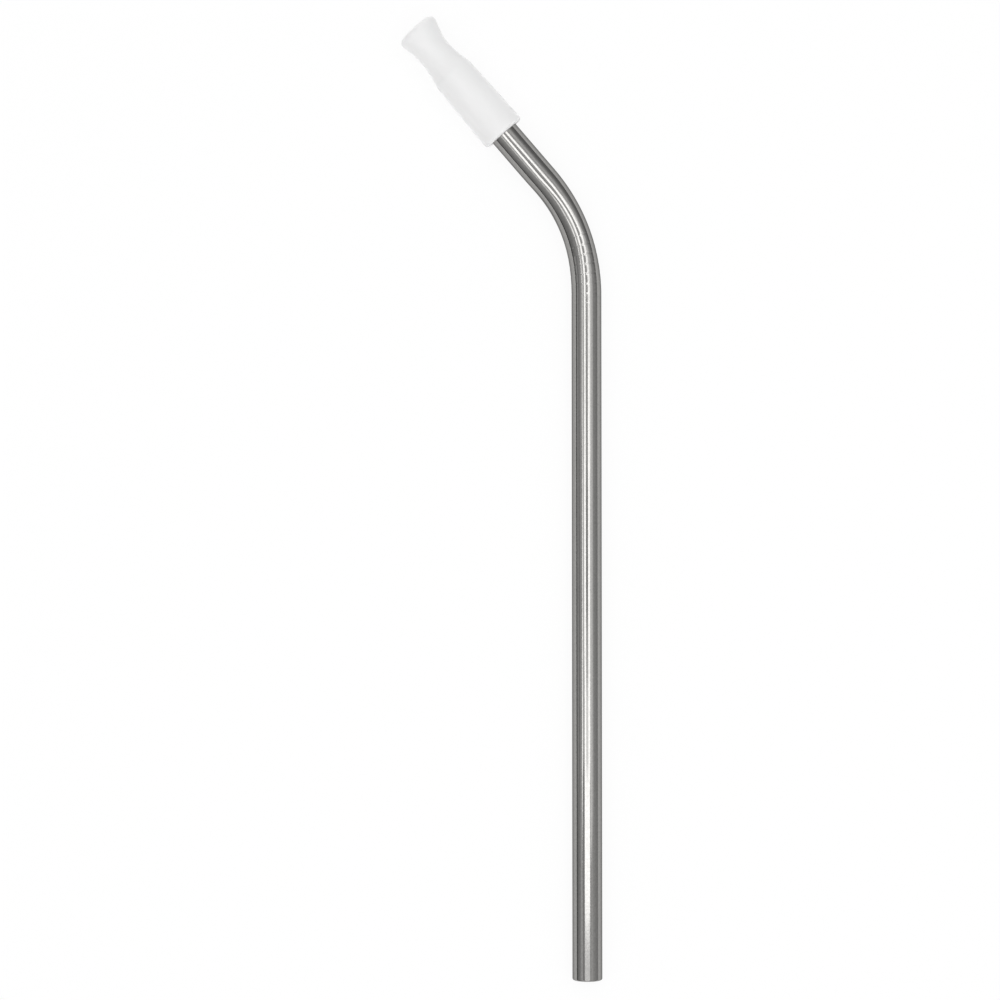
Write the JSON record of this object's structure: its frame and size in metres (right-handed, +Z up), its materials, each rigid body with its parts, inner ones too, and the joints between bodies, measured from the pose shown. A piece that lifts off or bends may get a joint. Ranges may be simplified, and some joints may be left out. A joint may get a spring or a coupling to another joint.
{
  "type": "bent drinking straw",
  "caption": "Bent stainless steel drinking straw lying flat, with a soft waisted silicone mouthpiece pushed over its upper end.",
  "frame": {"origin": "centre of the bounding box on the floor, with the straw lying as it comes to rest", "axes": "+Y along the long straight leg towards the bend, +Z up, the bend leaning towards -X"},
  "size_m": [0.0536, 0.2568, 0.0139],
  "materials": {
    "steel": "polished along its length",
    "silicone": "soft satin white"
  },
  "bodies": {
    "tube": {"steel_tube": "steel"},
    "tip": {"silicone_tip": "silicone"}
  },
  "joints": [
    {"name": "tip_pull_off", "type": "slide", "parent": "tube", "child": "tip", "axis": [-0.6545, 0.7536, 0.0613], "range_m": [0, 0.03]}
  ]
}
